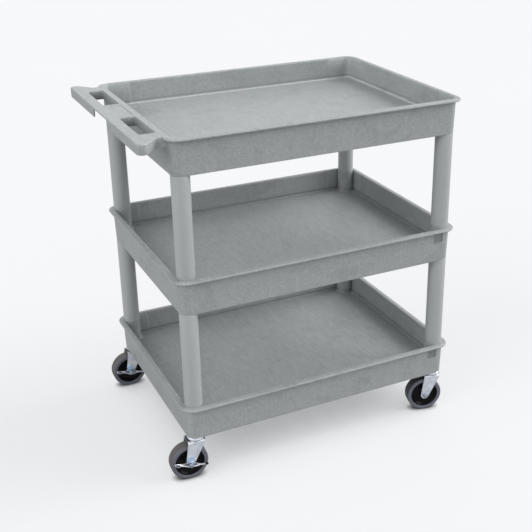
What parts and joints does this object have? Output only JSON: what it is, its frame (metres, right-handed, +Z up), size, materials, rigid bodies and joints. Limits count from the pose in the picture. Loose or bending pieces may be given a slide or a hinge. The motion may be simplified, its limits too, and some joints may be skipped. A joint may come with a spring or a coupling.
{
  "type": "food service trolley",
  "caption": "Open utility trolley with three deep tub shelves on round posts, a push handle with hand slots, and swivel casters, the rear ones braked.",
  "frame": {"origin": "on the floor, midway between the handle's edge and the front rim, on the middle plane", "axes": "+Z up, +X towards the front, away from the push handle, +Y to the left"},
  "size_m": [0.883, 0.61, 0.939],
  "materials": {
    "shelf_plastic": "moulded, faint swirl marks",
    "post_plastic": "smooth, semi-matt",
    "zinc": "bright zinc plate",
    "ball_steel": "polished",
    "black_plastic": "matt",
    "wheel_plastic": "glossy moulded",
    "tyre_rubber": "matt, non-marking grey"
  },
  "bodies": {
    "frame": {"top_tub": "shelf_plastic", "middle_tub": "shelf_plastic", "bottom_tub": "shelf_plastic", "rear_right_upper_post": "post_plastic", "rear_left_upper_post": "post_plastic", "front_right_upper_post": "post_plastic", "front_left_upper_post": "post_plastic", "rear_right_lower_post": "post_plastic", "rear_left_lower_post": "post_plastic", "front_right_lower_post": "post_plastic", "front_left_lower_post": "post_plastic", "rear_right_caster_socket": "black_plastic", "rear_right_caster_stem": "zinc", "rear_left_caster_socket": "black_plastic", "rear_left_caster_stem": "zinc", "front_right_caster_socket": "black_plastic", "front_right_caster_stem": "zinc", "front_left_caster_socket": "black_plastic", "front_left_caster_stem": "zinc"},
    "rear_right_caster": {"rear_right_raceway_balls": "ball_steel", "rear_right_fork": "zinc", "rear_right_axle_bolt": "zinc", "rear_right_axle_nut": "zinc", "rear_right_axle_sleeve": "zinc", "rear_right_thrust_washers": "black_plastic", "rear_right_brake_cam": "zinc"},
    "rear_right_wheel": {"rear_right_wheel_core": "wheel_plastic", "rear_right_tyre": "tyre_rubber"},
    "rear_right_brake": {"rear_right_brake_lever": "zinc", "rear_right_lever_tip": "black_plastic"},
    "rear_left_caster": {"rear_left_raceway_balls": "ball_steel", "rear_left_fork": "zinc", "rear_left_axle_bolt": "zinc", "rear_left_axle_nut": "zinc", "rear_left_axle_sleeve": "zinc", "rear_left_thrust_washers": "black_plastic", "rear_left_brake_cam": "zinc"},
    "rear_left_wheel": {"rear_left_wheel_core": "wheel_plastic", "rear_left_tyre": "tyre_rubber"},
    "rear_left_brake": {"rear_left_brake_lever": "zinc", "rear_left_lever_tip": "black_plastic"},
    "front_right_caster": {"front_right_raceway_balls": "ball_steel", "front_right_fork": "zinc", "front_right_axle_bolt": "zinc", "front_right_axle_nut": "zinc", "front_right_axle_sleeve": "zinc", "front_right_thrust_washers": "black_plastic"},
    "front_right_wheel": {"front_right_wheel_core": "wheel_plastic", "front_right_tyre": "tyre_rubber"},
    "front_left_caster": {"front_left_raceway_balls": "ball_steel", "front_left_fork": "zinc", "front_left_axle_bolt": "zinc", "front_left_axle_nut": "zinc", "front_left_axle_sleeve": "zinc", "front_left_thrust_washers": "black_plastic"},
    "front_left_wheel": {"front_left_wheel_core": "wheel_plastic", "front_left_tyre": "tyre_rubber"}
  },
  "joints": [
    {"name": "rear_right_swivel", "type": "hinge", "parent": "frame", "child": "rear_right_caster", "pos_m": [-0.3335, -0.267, 0.12], "axis": [0, 0, 1], "continuous": true},
    {"name": "rear_right_roll", "type": "hinge", "parent": "rear_right_caster", "child": "rear_right_wheel", "pos_m": [-0.35647, -0.2658, 0.051], "axis": [0.0523, 0.9986, 0], "continuous": true},
    {"name": "rear_right_brake_turn", "type": "hinge", "parent": "rear_right_caster", "child": "rear_right_brake", "pos_m": [-0.35647, -0.2658, 0.051], "axis": [-0.0523, -0.9986, 0], "range_deg": [0, 20]},
    {"name": "rear_left_swivel", "type": "hinge", "parent": "frame", "child": "rear_left_caster", "pos_m": [-0.3335, 0.267, 0.12], "axis": [0, 0, 1], "continuous": true},
    {"name": "rear_left_roll", "type": "hinge", "parent": "rear_left_caster", "child": "rear_left_wheel", "pos_m": [-0.3565, 0.267, 0.051], "axis": [0, 1, 0], "continuous": true},
    {"name": "rear_left_brake_turn", "type": "hinge", "parent": "rear_left_caster", "child": "rear_left_brake", "pos_m": [-0.3565, 0.267, 0.051], "axis": [0, -1, 0], "range_deg": [0, 20]},
    {"name": "front_right_swivel", "type": "hinge", "parent": "frame", "child": "front_right_caster", "pos_m": [0.4035, -0.267, 0.12], "axis": [0, 0, 1], "continuous": true},
    {"name": "front_right_roll", "type": "hinge", "parent": "front_right_caster", "child": "front_right_wheel", "pos_m": [0.38118, -0.26144, 0.051], "axis": [0.2419, 0.9703, 0], "continuous": true},
    {"name": "front_left_swivel", "type": "hinge", "parent": "frame", "child": "front_left_caster", "pos_m": [0.4035, 0.267, 0.12], "axis": [0, 0, 1], "continuous": true},
    {"name": "front_left_roll", "type": "hinge", "parent": "front_left_caster", "child": "front_left_wheel", "pos_m": [0.38056, 0.2686, 0.051], "axis": [0.0698, 0.9976, 0], "continuous": true}
  ]
}
